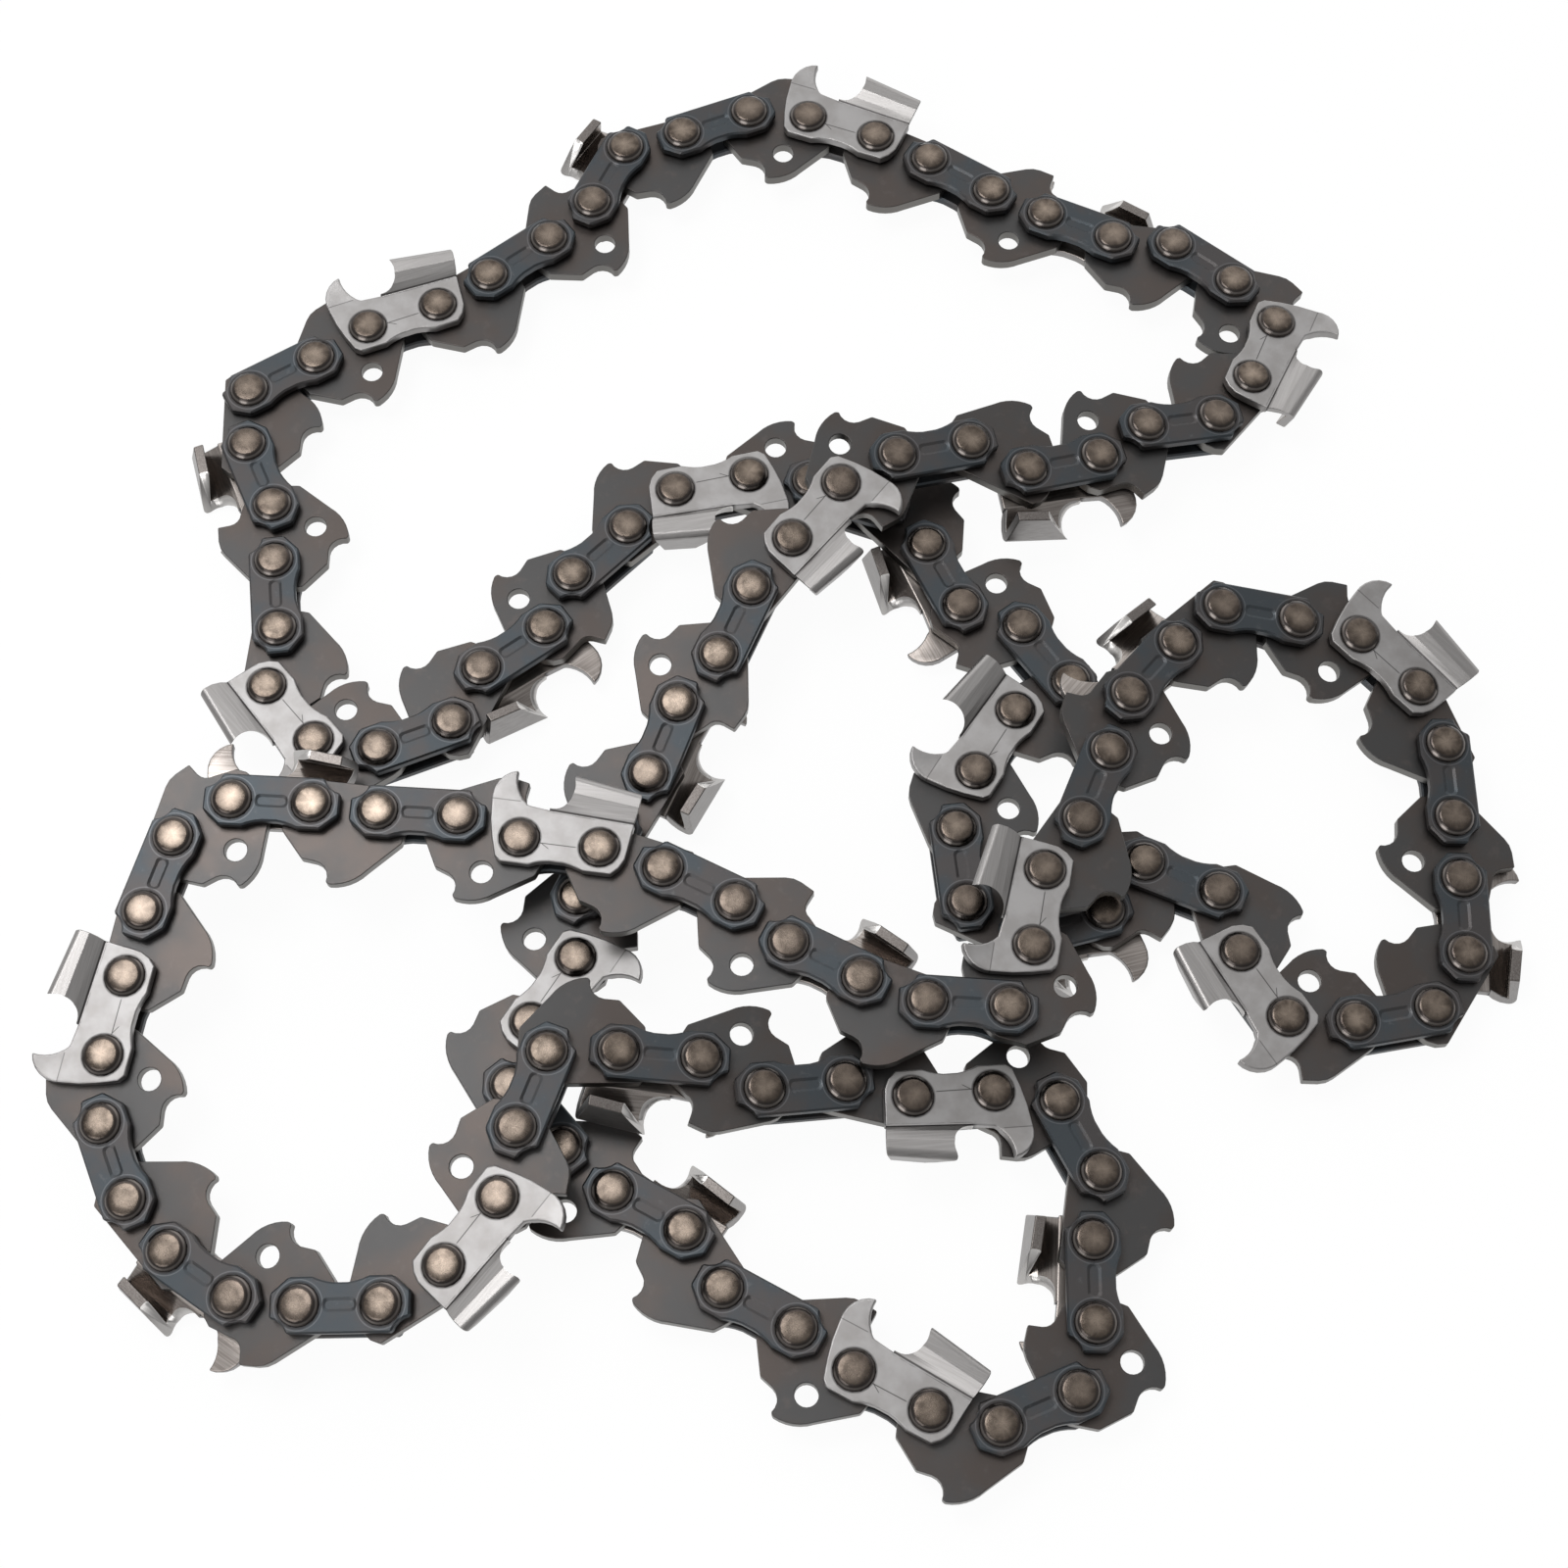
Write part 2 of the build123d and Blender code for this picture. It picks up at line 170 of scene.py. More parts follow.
def mark(link):
    """Keeps each point's place on the link, and leaves room for the link's number."""
    spot = link.data.attributes.new("spot", "FLOAT_VECTOR", "POINT")
    spot.data.foreach_set("vector", [value for point in link.data.vertices for value in point.co])
    link.data.attributes.new("lot", "FLOAT", "POINT")


def smooth(link, angle=60):
    """Turns the faces outwards and shades the broken edges round and the flat faces flat."""
    take(link)
    bpy.ops.object.mode_set(mode="EDIT")
    bpy.ops.mesh.select_all(action="SELECT")
    bpy.ops.mesh.normals_make_consistent(inside=False)
    bpy.ops.object.mode_set(mode="OBJECT")
    bpy.ops.object.shade_smooth_by_angle(angle=radians(angle))
    flat = link.modifiers.new("flat faces", "WEIGHTED_NORMAL")
    flat.weight = 80
    flat.keep_sharp = True
    bpy.ops.object.modifier_apply(modifier=flat.name)


def lay(link, node, spots):
    """Copies a link to its places, joins the copies into one piece and ties it to the frame."""
    bpy.ops.object.select_all(action="DESELECT")
    for number, spot in enumerate(spots):
        copy = link.copy()
        copy.data = link.data.copy()
        lot = (number * LINK_STEP + NODE_STEP * sum(node.encode())) % 1
        copy.data.attributes["lot"].data.foreach_set("value", [lot] * len(copy.data.vertices))
        copy.data.transform(spot @ MILLIMETRE)
        bpy.context.collection.objects.link(copy)
        copy.select_set(True)
        bpy.context.view_layer.objects.active = copy
    if len(spots) > 1:
        bpy.ops.object.join()
    piece = bpy.context.object
    piece.name = "chain_" + node
    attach(piece, "root")
    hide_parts(node)


class Tap:
    """A shader socket that can be used in sums."""

    def __init__(self, tree, socket=None):
        self.tree = tree
        self.socket = socket

    def make(self, kind, settings=None, values=None, out=0):
        """Adds a node, sets it up and returns one of its outputs."""
        node = self.tree.nodes.new("ShaderNode" + kind)
        for name, setting in (settings or {}).items():
            setattr(node, name, setting)
        for name, value in (values or {}).items():
            if isinstance(value, Tap):
                self.tree.links.new(value.socket, node.inputs[name])
            else:
                node.inputs[name].default_value = value
        return Tap(self.tree, node.outputs[out])

    def maths(self, operation, first, second=0.0):
        """Adds a Math node."""
        return self.make("Math", {"operation": operation}, {0: first, 1: second})

    def __add__(self, other):
        return self.maths("ADD", self, other)

    def __sub__(self, other):
        return self.maths("SUBTRACT", self, other)

    def __rsub__(self, other):
        return self.maths("SUBTRACT", other, self)

    def __mul__(self, other):
        return self.maths("MULTIPLY", self, other)

    def __truediv__(self, other):
        return self.maths("DIVIDE", self, other)

    def __pow__(self, other):
        return self.maths("POWER", self, other)

    def __abs__(self):
        return self.maths("ABSOLUTE", self)

    __radd__ = __add__
    __rmul__ = __mul__

    def fade(self, start, end):
        """0 at start and 1 at end, with a soft step between."""
        values = {0: self, 1: start, 2: end}
        return self.make("MapRange", {"interpolation_type": "SMOOTHSTEP"}, values)

    def line(self, half, soft):
        """1 where this is near zero: a line with soft edges."""
        return 1 - abs(self).fade(half, half + soft)

    def mix(self, low, high):
        """A colour between two, with this as the share of the second."""
        return self.make("Mix", {"data_type": "RGBA"}, {0: self, 6: low, 7: high}, 2)

    def noise(self, scale, detail, roughness):
        """Clouds over these coordinates."""
        values = {"Vector": self, "Scale": scale, "Detail": detail, "Roughness": roughness}
        return self.make("TexNoise", None, values)

    def stretch(self, scale):
        """These coordinates with their own scale on each axis."""
        return self.make("Mapping", None, {"Vector": self, "Scale": scale})


def finish_of(name):
    """A new material, with taps on a link's own coordinates, on its number, and on both together,
    so that no two links carry the same marks."""
    material = bpy.data.materials.new(name)
    material.use_nodes = True
    tap = Tap(material.node_tree)
    spot = tap.make("Attribute", {"attribute_name": "spot"}, out=1)
    lot = tap.make("Attribute", {"attribute_name": "lot"}, out=2)
    apart = {0: lot, 1: (91.0, 57.0, 33.0), 2: spot}
    marks = spot.make("VectorMath", {"operation": "MULTIPLY_ADD"}, apart)
    x, y, z = [spot.make("SeparateXYZ", None, {0: spot}, axis) for axis in range(3)]
    return material, marks, lot, x, y, z


def surface(material, colour, roughness, height, depth):
    """Sets the steel's colour and gloss, and a bump of a depth in millimetres."""
    steel = material.node_tree.nodes["Principled BSDF"]
    steel.inputs["Metallic"].default_value = 1.0
    material.node_tree.links.new(colour.socket, steel.inputs["Base Color"])
    material.node_tree.links.new(roughness.socket, steel.inputs["Roughness"])
    values = {"Height": height, "Strength": 1.0, "Distance": depth * 0.001}
    bump = height.make("Bump", None, values)
    material.node_tree.links.new(bump.socket, steel.inputs["Normal"])


rivet_steel, marks, lot, x, y, _ = finish_of("burnished rivet steel")
radius = (x * x + y * y) ** 0.5
top = 1 - radius.fade(1.55, 1.9)
shoulder = (radius - 2.1).line(0.05, 0.08)
round_the_pin = marks.make("CombineXYZ", None, {0: x / radius, 1: y / radius, 2: lot * 40})
# The rays round the pin are a painted highlight, standing in for the shine that spun metal throws.
rays = round_the_pin.noise(1.7, 3.0, 0.6).fade(0.36, 0.66)
blotch = marks.noise(0.75, 4.0, 0.62).fade(0.36, 0.66)
# The top is painted lighter at the centre and darker towards its edge, a painted highlight; the
# blotches on it are real.
lightening = (1 - radius.fade(0.1, 1.8)) * 0.6 + rays * 0.14 + blotch * 0.26
bronze = lightening.mix(BRONZE_DARK, BRONZE_LIGHT)
bronze = (lot * 0.45).mix(bronze, BRONZE_DULL)
colour = top.mix(SKIRT_BROWN, bronze)
colour = (shoulder * 0.8).mix(colour, SHOULDER_STEEL)
grain = marks.noise(9.0, 3.0, 0.6)
surface(rivet_steel, colour, 0.15 + top * 0.08 + grain * 0.1, grain, depth=0.006)
rivet.data.materials.append(rivet_steel)
mark(rivet)
smooth(rivet)
lay(rivet, "rivets", rivet_places)
bpy.data.objects.remove(rivet)


# Drive links. Plates punched from spring steel and blackened by heat treatment. The tang runs in
# the bar's groove and its hooked front scrapes the groove clean.
LINK_GAUGE = 1.47
LINK_EDGE = 0.1
OIL_HOLE = (1.08, -4.85, 0)
OIL_HOLE_RADIUS = 1.3
SCALE_BROWN = (0.08, 0.069, 0.064, 1)
SCALE_GREY = (0.072, 0.071, 0.071, 1)
SCALE_LIGHT = (0.1, 0.088, 0.084, 1)
PUNCHED_EDGE = (0.19, 0.185, 0.175, 1)


class Pen:
    """Draws an outline by extruding one vertex from point to point on a board."""

    def __init__(self, start, board=Matrix()):
        bpy.ops.object.select_all(action="DESELECT")
        bpy.ops.mesh.primitive_plane_add(size=1)
        bpy.ops.object.mode_set(mode="EDIT")
        bpy.ops.mesh.merge(type="CENTER")
        self.board = board
        self.last = complex(*start)
        bpy.ops.transform.translate(value=board @ Vector((*start, 0)))

    def to(self, *points):
        """Draws straight lines from point to point."""
        for point in points:
            step = complex(*point) - self.last
            move = self.board.to_3x3() @ Vector((step.real, step.imag, 0))
            bpy.ops.mesh.extrude_region_move(TRANSFORM_OT_translate={"value": move})
            self.last = complex(*point)

    def round(self, through, end, steps):
        """Follows the arc through one point to another."""
        a, b, c = self.last, complex(*through), complex(*end)
        ratio = (c - a) / (b - a)
        centre = a + (b - a) * (ratio - abs(ratio) ** 2) / (ratio - ratio.conjugate())
        start = a - centre
        swing = np.angle((c - centre) / start)
        if (np.angle((b - centre) / start) > 0) != (swing > 0):
            swing -= 2 * pi * np.sign(swing)
        for step in range(1, steps + 1):
            spoke = centre + start * np.exp(1j * swing * step / steps)
            self.to((spoke.real, spoke.imag))

    def bend(self, corner, after, radius, steps):
        """Goes towards a corner and round it, up to where the line to the next point starts."""
        corner = complex(*corner)
        back = (self.last - corner) / abs(self.last - corner)
        ahead = (complex(*after) - corner) / abs(complex(*after) - corner)
        half = abs(np.angle(ahead / back)) / 2
        middle = (back + ahead) / abs(back + ahead)
        start = corner + back * radius / np.tan(half)
        end = corner + ahead * radius / np.tan(half)
        through = corner + middle * (radius / np.sin(half) - radius)
        self.to((start.real, start.imag))
        self.round((through.real, through.imag), (end.real, end.imag), steps)

    def close(self):
        """Joins the last point to the first."""
        bpy.ops.mesh.select_all(action="SELECT")
        bpy.ops.mesh.remove_doubles(threshold=0.01)

    def fill(self, thickness, low):
        """Fills the closed outline and gives it its thickness."""
        self.close()
        bpy.ops.mesh.edge_face_add()
        bpy.ops.transform.translate(value=(0, 0, low))
        bpy.ops.mesh.extrude_region_move(TRANSFORM_OT_translate={"value": (0, 0, thickness)})
        bpy.ops.mesh.select_all(action="SELECT")
        bpy.ops.mesh.normals_make_consistent(inside=False)
        bpy.ops.object.mode_set(mode="OBJECT")
        return bpy.context.object


def break_edges(link, width, angle=35, segments=1):
    """Breaks the sharp edges of a punched plate."""
    take(link)
    edge = link.modifiers.new("broken edges", "BEVEL")
    edge.width = width
    edge.segments = segments
    edge.limit_method = "ANGLE"
    edge.angle_limit = radians(angle)
    edge.use_clamp_overlap = False
    bpy.ops.object.modifier_apply(modifier=edge.name)


def combine(link, tool, operation):
    """Cuts a tool's shape out of a link, or adds it, and removes the tool."""
    take(link)
    change = link.modifiers.new("change", "BOOLEAN")
    change.object = tool
    change.operation = operation
    change.solver = "EXACT"
    bpy.ops.object.modifier_apply(modifier=change.name)
    bpy.data.objects.remove(tool)


def drive_link(bumper):
    """Draws a drive link from its rear, round the tang and back over the top."""
    pen = Pen((7.05, 0))
    pen.to((6.95, -1.7), (6.8, -3.1), (3.45, -6.7))
    pen.round((1.65, -8.2), (-0.5, -8.75), 6)
    pen.to((-0.88, -8.5))
    pen.round((-1.12, -7.1), (-2.35, -6.3), 5)
    pen.to((-4.05, -6.12), (-6.8, -3.1), (-7.05, 0))
    if bumper:
        pen.round((-6.7, 1.5), (-5.9, 2.55), 3)
        pen.to((-1.6, 6.05))
        pen.round((-0.85, 6.5), (0.1, 6.72), 2)
        pen.to((1.95, 6.78), (2.15, 5.3))
        pen.round((2.55, 4.5), (3.5, 4.05), 4)
        pen.to((6.1, 3.25))
    else:
        pen.round((-6.9, 2.2), (-6.1, 3.25), 3)
        pen.to((6.1, 3.25))
    pen.round((6.9, 2.2), (7.05, 0), 3)
    link = pen.fill(LINK_GAUGE, -LINK_GAUGE / 2)
    if bumper:
        bpy.ops.object.select_all(action="DESELECT")
        bpy.ops.mesh.primitive_cylinder_add(vertices=20, radius=OIL_HOLE_RADIUS, depth=4,
                                            location=OIL_HOLE)
        combine(link, bpy.context.object, "DIFFERENCE")
    break_edges(link, LINK_EDGE)
    return link


drive_steel, marks, _, _, _, z = finish_of("blackened drive link steel")
stain = marks.noise(0.14, 3.0, 0.55).fade(0.34, 0.66)
tint = stain.mix(SCALE_BROWN, SCALE_GREY)
scale = marks.noise(0.5, 4.0, 0.65).fade(0.56, 0.72)
tint = (scale * 0.5).mix(tint, SCALE_LIGHT)
cut = 1 - abs(z).fade(0.6, 0.7)
tint = (cut * 0.75).mix(tint, PUNCHED_EDGE)
grain = marks.noise(12.0, 3.0, 0.6)
surface(drive_steel, tint, 0.32 + grain * 0.1 + stain * 0.05, grain, depth=0.004)
for node, bumper in (("bumper_drive_links", True), ("plain_drive_links", False)):
    link = drive_link(bumper)
    link.data.materials.append(drive_steel)
    mark(link)
    smooth(link)
    lay(link, node, drive_places[node])
    bpy.data.objects.remove(link)


# Tie straps. Blued steel plates that join the drive links, punched to an eight-sided outline with
# scooped outer corners, and stamped with a round-ended recess between the rivets.
INNER_FACE = 0.985
PLATE = 1.2
OUTER_FACE = INNER_FACE + PLATE
STRAP_EDGE = 0.2
STRAP_FLAT_ANGLE = 18
RECESS_DEPTH = 0.16
RECESS_FLARE = (1.39, 2.4, 1)
RIVET_FROM_MIDDLE = 4.5
BLUED_WARM = (0.07, 0.066, 0.066, 1)
BLUED_COLD = (0.057, 0.065, 0.072, 1)
PAINTED_SHADE_AT_RIVET = (0.03, 0.028, 0.028, 1)
LIGHT_RING_AT_RIVET = (0.2, 0.2, 0.21, 1)
RUBBED_STEEL = (0.14, 0.135, 0.135, 1)

pen = Pen((0, 3.0))
pen.to((5.7, 3.0))
pen.round((6.35, 1.95), (7.65, 1.3), 4)
pen.to((7.65, -1.3), (5.7, -3.0), (3.1, -3.0))
pen.round((2.1, -2.62), (0.8, -2.35), 3)
pen.to((-0.8, -2.35))
pen.round((-2.1, -2.62), (-3.1, -3.0), 3)
pen.to((-5.7, -3.0), (-7.65, -1.3), (-7.65, 1.3))
pen.round((-6.35, 1.95), (-5.7, 3.0), 4)
pen.to((0, 3.0))
strap = pen.fill(PLATE, INNER_FACE)
break_edges(strap, STRAP_EDGE)


def pick(link, chosen):
    """Selects the points of a link that a test chooses, and opens it in edit mode."""
    take(link)
    bpy.ops.object.mode_set(mode="EDIT")
    bpy.ops.mesh.select_all(action="DESELECT")
    bpy.ops.object.mode_set(mode="OBJECT")
    for point in link.data.vertices:
        point.select = chosen(point.co)
    bpy.ops.object.mode_set(mode="EDIT")


pen = Pen((-1.15, -0.45))
pen.to((1.15, -0.45))
pen.round((1.6, 0), (1.15, 0.45), 6)
pen.to((-1.15, 0.45))
pen.round((-1.6, 0), (-1.15, -0.45), 6)
recess = pen.fill(2 * RECESS_DEPTH, OUTER_FACE - RECESS_DEPTH)
pick(recess, lambda co: co.z > OUTER_FACE)
bpy.ops.transform.resize(value=RECESS_FLARE)
bpy.ops.object.mode_set(mode="OBJECT")
combine(strap, recess, "DIFFERENCE")

strap_steel, marks, _, x, y, _ = finish_of("blued strap steel")
stain = marks.noise(0.2, 3.0, 0.55)
tint = stain.fade(0.36, 0.64).mix(BLUED_WARM, BLUED_COLD)
from_rivet = ((abs(x) - RIVET_FROM_MIDDLE) ** 2.0 + y * y) ** 0.5
# Painted shade: a dark ring just outside each rivet head, where the head meets the strap.
tint = ((1 - from_rivet.fade(2.4, 2.62)) * 0.7).mix(tint, PAINTED_SHADE_AT_RIVET)
# A thin lighter ring round each rivet, just outside the painted shade.
tint = ((from_rivet - 2.68).line(0.02, 0.06) * 0.35).mix(tint, LIGHT_RING_AT_RIVET)
lightening = marks.noise(0.8, 4.0, 0.65).fade(0.6, 0.75)
tint = (lightening * 0.3).mix(tint, RUBBED_STEEL)
grain = marks.noise(11.0, 3.0, 0.6)
surface(strap_steel, tint, 0.4 + grain * 0.1, grain, depth=0.005)
strap.data.materials.append(strap_steel)
mark(strap)
smooth(strap, STRAP_FLAT_ANGLE)
half_turn = Matrix.Rotation(pi, 4, "Y")
lay(strap, "near_tie_straps", strap_places)
lay(strap, "far_tie_straps", [spot @ half_turn for spot in strap_places])
lay(strap, "near_backing_straps", right_places)
lay(strap, "far_backing_straps", [spot @ half_turn for spot in left_places])
bpy.data.objects.remove(strap)


# Cutters. One plate each, chromed on the outside: a foot that is riveted like a strap, a depth
# gauge in front, and a side plate that is set outwards above a crease and bent over into the top
# plate. The gullet and the cutting edge are ground round by a file that is held at an angle.
FRONT = -1.7
REAR = 7.95
CREASE_FRONT = 3.65
CREASE_REAR = 3.2
TOP_FRONT = 8.25
TOP_REAR = 6.75
SET_FRONT = 1.6
SET_REAR = 1.35
TOP_WIDTH = 4.75
TOP_DROP = 0.75
ROOT = 0.8
HORN_CREASE = 4.25
HORN_BEND = radians(-9)
FOOT_EDGE = 0.2
PLATE_EDGE = 0.12
FILE_RADIUS = 2.6
FILE_SPOT = (-1.3, 6.4, OUTER_FACE)
FILE_ANGLE = radians(-30)
SATIN = ((0.27, 0.26, 0.255, 1), (0.33, 0.322, 0.32, 1))
BRUSHED = ((0.26, 0.25, 0.245, 1), (0.33, 0.32, 0.315, 1))
# Black for real score marks, and for painted shade in the creases and round the rivets.
SHADE_AND_SCORE_BLACK = (0.045, 0.042, 0.042, 1)
INNER_STEEL = ((0.22, 0.195, 0.18, 1), (0.34, 0.31, 0.29, 1))
FILED_BRIGHT = (0.5, 0.487, 0.475, 1)
TORN_STEEL = ((0.115, 0.102, 0.095, 1), (0.19, 0.175, 0.166, 1))

pen = Pen((FRONT, CREASE_FRONT))
pen.to((REAR, CREASE_REAR), (7.7, 0.1))
pen.round((7.1, -2.0), (6.15, -3.0), 3)
pen.to((3.1, -3.0))
pen.round((2.1, -2.62), (0.8, -2.35), 3)
pen.to((-0.8, -2.35))
pen.round((-2.1, -2.62), (-3.1, -3.0), 3)
pen.to((-6.25, -3.0), (-6.95, -2.4))
pen.round((-7.85, 0.7), (-8.3, 3.9), 3)
pen.round((-8.0, 6.1), (-5.8, 7.7), 6)
pen.round((-5.3, 5.2), (-4.2, 3.95), 6)
pen.to((FRONT, CREASE_FRONT))
cutter = pen.fill(PLATE, INNER_FACE)
bpy.ops.object.mode_set(mode="EDIT")
bpy.ops.mesh.select_all(action="SELECT")
bpy.ops.mesh.bisect(plane_co=(0, HORN_CREASE, 0), plane_no=(0, 1, 0))
bpy.ops.object.mode_set(mode="OBJECT")
pick(cutter, lambda co: co.y > HORN_CREASE + 0.01)
bpy.ops.transform.rotate(value=HORN_BEND, orient_axis="X",
                         center_override=(0, HORN_CREASE, OUTER_FACE))
bpy.ops.object.mode_set(mode="OBJECT")
break_edges(cutter, FOOT_EDGE, segments=2)


def bent_section(station, slant, rake, crease, top, side_set):
    """Draws the section of the bent plate, from the crease over the side plate to the free edge."""
    free_edge = OUTER_FACE + side_set - TOP_WIDTH
    corner = (top, OUTER_FACE + side_set)
    knee = (crease + 0.45 * (top - crease), OUTER_FACE + 0.8 * side_set)
    lip = (top - TOP_DROP, free_edge)
    sunk = 0.02
    dish = (crease + 0.18 * (top - crease), OUTER_FACE + 0.44 * side_set)
    origin = (station - slant * crease - rake * OUTER_FACE, 0, 0)
    board = Matrix(((slant, rake, 0, origin[0]), (1, 0, 0, 0), (0, 1, 0, 0), (0, 0, 0, 1)))
    pen = Pen((crease - ROOT, OUTER_FACE - sunk), board)
    pen.to((crease, OUTER_FACE), dish)
    pen.bend(knee, corner, radius=0.4, steps=2)
    pen.bend(corner, lip, radius=0.8, steps=5)
    pen.to(lip, (lip[0] - PLATE, free_edge), (top - PLATE, corner[1] - PLATE))
    pen.to((knee[0], knee[1] - PLATE), (crease, INNER_FACE))
    pen.to((crease - ROOT, INNER_FACE + sunk), (crease - ROOT, OUTER_FACE - sunk))
    pen.close()
    bpy.ops.object.mode_set(mode="OBJECT")
    return bpy.context.object


front_end = bent_section(FRONT, slant=0, rake=0, crease=CREASE_FRONT, top=TOP_FRONT,
                         side_set=SET_FRONT)
plate = bent_section(REAR, slant=0.0676, rake=0.26, crease=CREASE_REAR, top=TOP_REAR,
                     side_set=SET_REAR)
front_end.select_set(True)
bpy.ops.object.join()
bpy.ops.object.mode_set(mode="EDIT")
bpy.ops.mesh.select_all(action="SELECT")
bpy.ops.mesh.bridge_edge_loops()
bpy.ops.mesh.select_all(action="SELECT")
bpy.ops.mesh.fill_holes(sides=0)
bpy.ops.mesh.normals_make_consistent(inside=False)
bpy.ops.object.mode_set(mode="OBJECT")
break_edges(plate, PLATE_EDGE, angle=50)
combine(cutter, plate, "UNION")


def clean(link, gap):
    """Merges points that lie closer than a gap and joins the faces that lie in one plane."""
    take(link)
    bpy.ops.object.mode_set(mode="EDIT")
    bpy.ops.mesh.select_all(action="SELECT")
    bpy.ops.mesh.remove_doubles(threshold=gap)
    bpy.ops.mesh.dissolve_limited(angle_limit=radians(1))
    bpy.ops.object.mode_set(mode="OBJECT")


clean(cutter, gap=0.015)
bpy.ops.object.select_all(action="DESELECT")
bpy.ops.mesh.primitive_cylinder_add(vertices=40, radius=FILE_RADIUS, depth=18, location=FILE_SPOT,
                                    rotation=(0, FILE_ANGLE, 0))
bpy.ops.object.transform_apply(location=True, rotation=True, scale=True)
combine(cutter, bpy.context.object, "DIFFERENCE")
clean(cutter, gap=0.01)
smooth(cutter)

CHROMED, INSIDE, FILED, SHEARED = range(4)
side = cutter.data.attributes.new("side", "FLOAT", "FACE")
file_axis = Vector((0, 0, 1))
file_axis.rotate(Matrix.Rotation(FILE_ANGLE, 3, "Y"))
for face in cutter.data.polygons:
    arm = face.center - Vector(FILE_SPOT)
    reach = (arm - file_axis * arm.dot(file_axis)).length
    under_top = face.normal.y < -0.5 and face.center.y > 5 and face.normal.x > -0.3
    if reach < FILE_RADIUS + 0.02:
        kind = FILED
    elif face.normal.z < -0.4 and face.center.z < -0.5:
        kind = SHEARED
    elif face.normal.z < -0.8 or under_top:
        kind = INSIDE
    else:
        kind = CHROMED
    side.data[face.index].value = kind

cutter_steel, marks, _, x, y, _ = finish_of("chromed cutter steel")
side = marks.make("Attribute", {"attribute_name": "side"}, out=2)
inner = (side - INSIDE).line(0.3, 0.3)
filed = (side - FILED).line(0.3, 0.3)
sheared = side.fade(2.4, 2.6)
outer = 1 - side.fade(0.4, 0.6)
from_crease = y - CREASE_FRONT + (x - FRONT) * ((CREASE_FRONT - CREASE_REAR) / (REAR - FRONT))
bent = from_crease.fade(0.0, 0.1) * x.fade(FRONT - 0.9, FRONT - 0.6)
streak = marks.stretch((0.12, 5.0, 5.0)).noise(1.0, 3.0, 0.6)
grain = marks.noise(10.0, 3.0, 0.6)
cloud = marks.noise(0.35, 3.0, 0.55).fade(0.3, 0.7)
satin = cloud.mix(*SATIN)
brushed = streak.fade(0.2, 0.8).mix(*BRUSHED)
colour = bent.mix(satin, brushed)
scored = marks.stretch((0.5, 3.0, 3.0)).noise(1.0, 4.0, 0.7).fade(0.42, 0.6)
# Painted shade along the crease at the foot of the side plate, with a line of real score marks
# beside it on the foot.
crease = from_crease.line(0.06, 0.08) + (from_crease + 0.26).line(0.02, 0.06) * scored * 0.6
crease = crease * x.fade(FRONT - 0.6, FRONT) * outer
scribe = (y + 0.35).line(0.035, 0.05) * x.fade(-2.2, -2.0) * (1 - x.fade(1.7, 2.1))
tick = ((y + 0.35) + (x + 2.0) * 0.62).line(0.03, 0.05)
tick = tick * x.fade(-2.0, -1.9) * (1 - x.fade(-1.2, -1.0))
# Painted shade along the bend of the depth gauge.
horn = (y - HORN_CREASE).line(0.03, 0.06) * (1 - x.fade(-5.2, -4.9)) * 0.7
from_rivet = ((abs(x) - RIVET_FROM_MIDDLE) ** 2.0 + y * y) ** 0.5
# Painted shade: a dark ring just outside each rivet head.
ring = 1 - from_rivet.fade(2.36, 2.56)
# The scribe line and its tick are real marks; the crease, the gauge's bend and the rivet rings
# carry painted shade.
painted_shade_and_marks = crease * 0.85 + (scribe + tick + horn) * outer * 0.8 + ring * 0.75
painted_shade_and_marks = marks.maths("MINIMUM", painted_shade_and_marks, 1.0)
colour = painted_shade_and_marks.mix(colour, SHADE_AND_SCORE_BLACK)
inside = streak.fade(0.35, 0.65).mix(*INNER_STEEL)
colour = inner.mix(colour, inside)
colour = filed.mix(colour, FILED_BRIGHT)
torn = marks.noise(7.0, 2.0, 0.7).fade(0.35, 0.65)
torn = torn.mix(*TORN_STEEL)
colour = sheared.mix(colour, torn)
roughness = 0.4 + grain * 0.08 - bent * 0.09 + streak * bent * 0.04 - inner * 0.12
height = grain * (1 - bent) + streak * bent * 0.12
surface(cutter_steel, colour, roughness, height, depth=0.005)
cutter.data.materials.append(cutter_steel)
mark(cutter)
far_cutter = cutter.copy()
far_cutter.data = cutter.data.copy()
bpy.context.collection.objects.link(far_cutter)
far_cutter.data.transform(Matrix.Scale(-1, 4, (0, 0, 1)))
smooth(far_cutter)
for name, spot in cutter_places.items():
    lay(cutter if name.startswith("left") else far_cutter, name, [spot])
bpy.data.objects.remove(cutter)
bpy.data.objects.remove(far_cutter)


# Table, light and camera. A sheet of white paper on a table, lit by a soft room that is brightest
# behind the table, by a softbox over the left loop and by a lamp in front on the left. The camera
# looks down from the front, where the photograph was taken.
FLOOR_DROP = 0.0001
FLOOR_GLOW = 0.95
PAPER_WHITE = (0.9, 0.9, 0.9, 1)

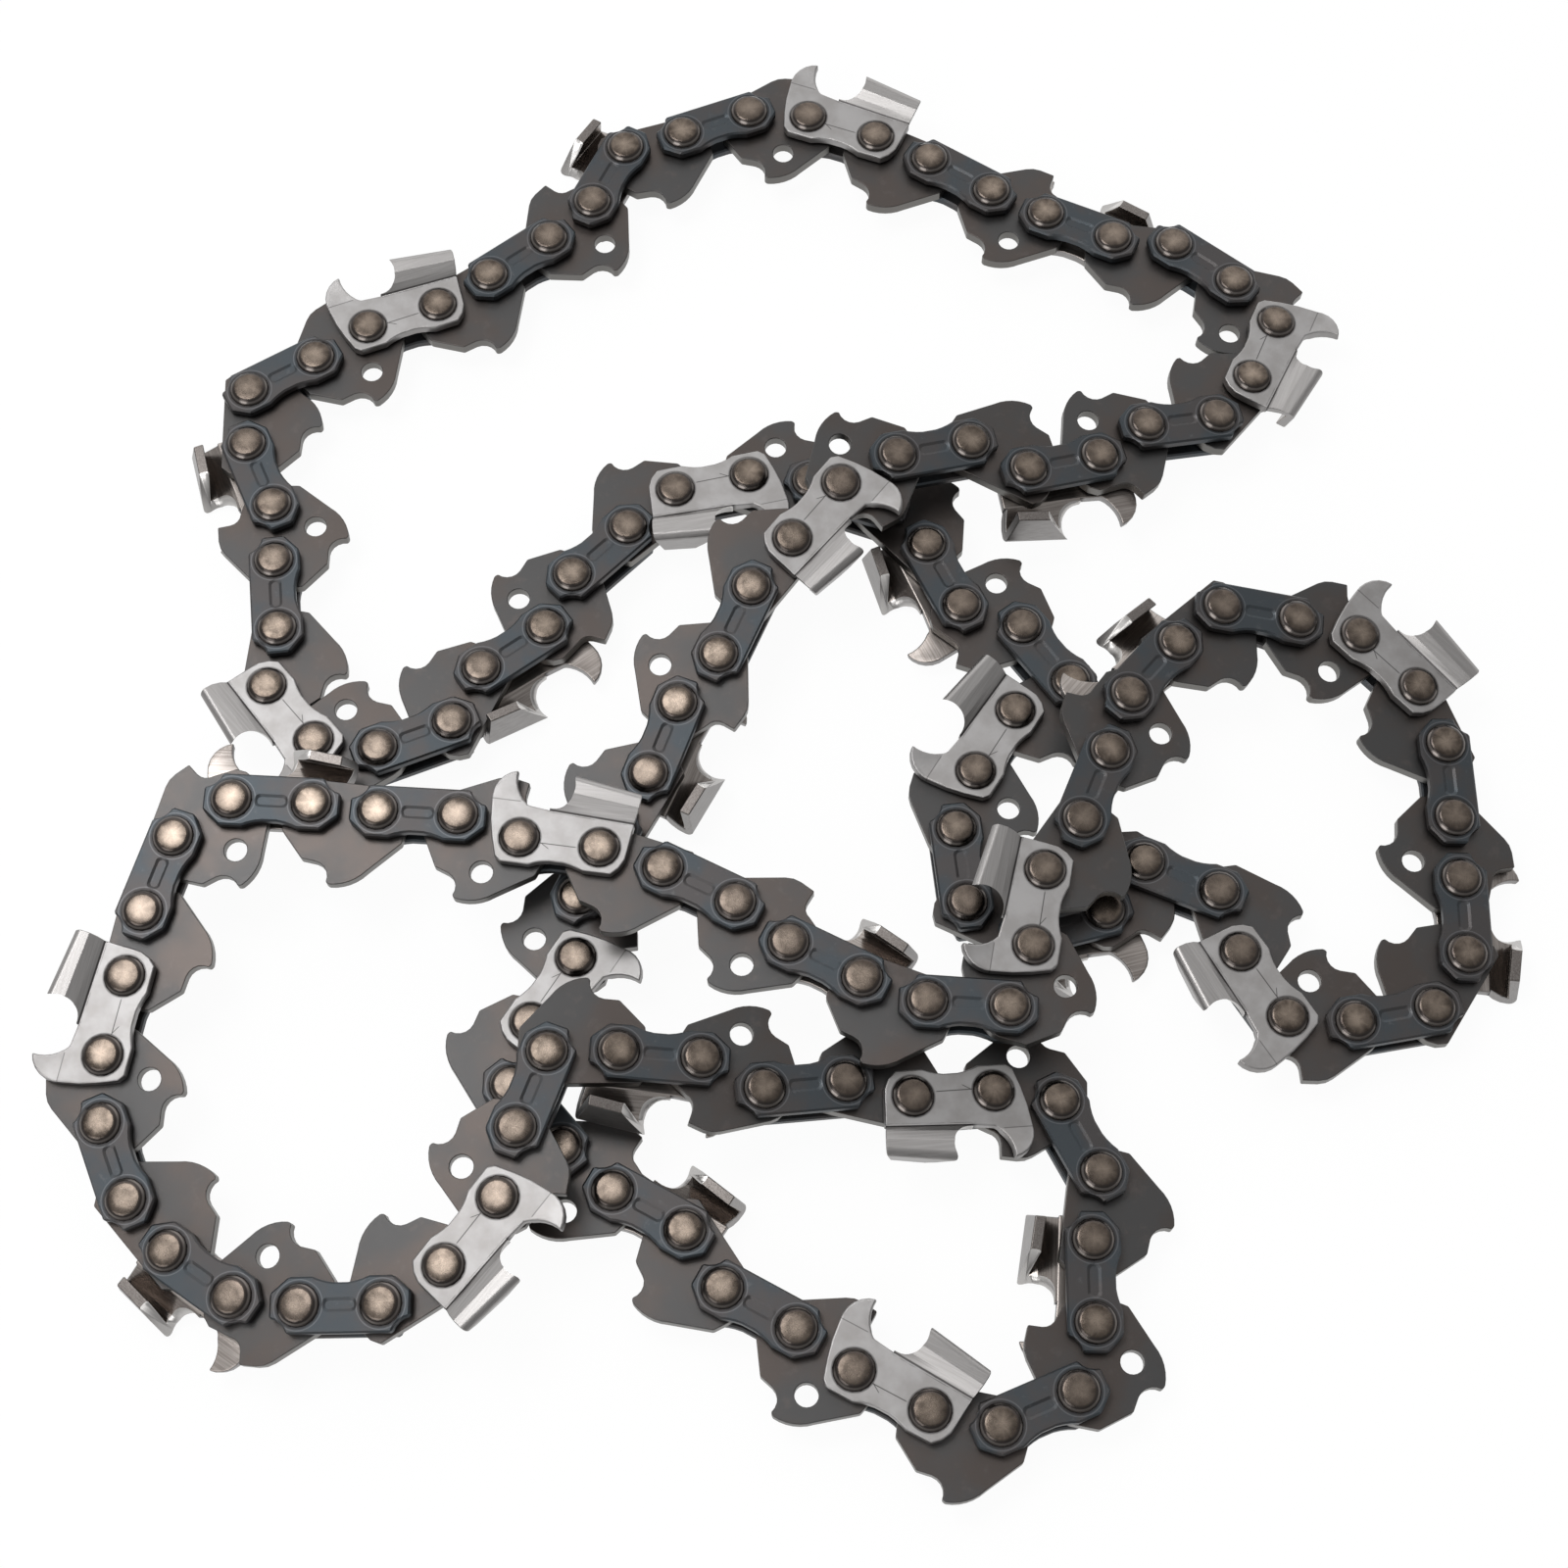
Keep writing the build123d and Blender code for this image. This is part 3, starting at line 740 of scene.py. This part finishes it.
bpy.ops.object.select_all(action="DESELECT")
bpy.ops.mesh.primitive_plane_add(size=4, location=(0, 0, -FLOOR_DROP))
floor = bpy.context.object
floor.name = "floor"
bpy.ops.object.transform_apply(location=True)
paper = bpy.data.materials.new("white table")
paper.use_nodes = True
tap = Tap(paper.node_tree)
matte = paper.node_tree.nodes["Principled BSDF"]
matte.inputs["Base Color"].default_value = PAPER_WHITE
matte.inputs["Roughness"].default_value = 0.9
seen = tap.make("LightPath")
glossy = tap.make("LightPath", out=3)
through = tap.make("LightPath", out=6)
glow = tap.make("Emission", None, {"Color": (1, 1, 1, 1), "Strength": 1.0})
share = seen.maths("MAXIMUM", seen.maths("MAXIMUM", seen, glossy), through) * FLOOR_GLOW
plain = Tap(paper.node_tree, matte.outputs[0])
both = tap.make("MixShader", None, {0: share, 1: plain, 2: glow})
output = paper.node_tree.nodes["Material Output"]
paper.node_tree.links.new(both.socket, output.inputs["Surface"])
floor.data.materials.append(paper)

world = bpy.data.worlds.new("room")
bpy.context.scene.world = world
world.use_nodes = True
tap = Tap(world.node_tree)
ray = tap.make("TexCoord")
across, ahead = [ray.make("SeparateXYZ", None, {0: ray}, axis) for axis in range(2)]
room = 0.62 + ahead.fade(0.2, 0.95) * 1.05
room = room - (0 - ahead).fade(0.1, 0.9) * 0.15 - across.fade(0.0, 0.5) * 0.1
backdrop = world.node_tree.nodes["Background"]
backdrop.inputs["Color"].default_value = (1, 1, 1, 1)
world.node_tree.links.new(room.socket, backdrop.inputs["Strength"])


def softbox(name, spot, size, power, aim=(0, 0, 0)):
    """Hangs a square lamp and turns it to what it lights."""
    lamp = bpy.data.lights.new(name, "AREA")
    lamp.energy = power
    lamp.size = size
    box = bpy.data.objects.new(name, lamp)
    bpy.context.collection.objects.link(box)
    box.location = spot
    box.rotation_euler = (Vector(aim) - Vector(spot)).to_track_quat("-Z", "Y").to_euler()


softbox("left softbox", spot=(-0.2, 0.085, 0.5), size=0.24, power=1.15, aim=(-0.067, -0.04, 0))
softbox("front lamp", spot=(-0.6, -0.7, 0.72), size=0.6, power=3.4)

PHOTO_WIDTH = 1600
FOCAL_PIXELS = 2977.7
CAMERA_SPOT = (-0.000725, -0.139995, 0.312875)
CAMERA_LOOKS_DOWN = 66.944
CAMERA_TURN = 0.077
CAMERA_ROLL = -0.114

scene = bpy.context.scene
scene.view_settings.view_transform = "Standard"
view = bpy.data.cameras.new("view")
view.lens = FOCAL_PIXELS * view.sensor_width / PHOTO_WIDTH
view.clip_start = 0.01
camera = bpy.data.objects.new("view", view)
bpy.context.collection.objects.link(camera)
camera.location = CAMERA_SPOT
aim = Matrix.Rotation(radians(CAMERA_TURN), 3, "Z")
aim = aim @ Matrix.Rotation(radians(90 - CAMERA_LOOKS_DOWN), 3, "X")
camera.rotation_euler = (aim @ Matrix.Rotation(radians(CAMERA_ROLL), 3, "Z")).to_euler()
scene.camera = camera
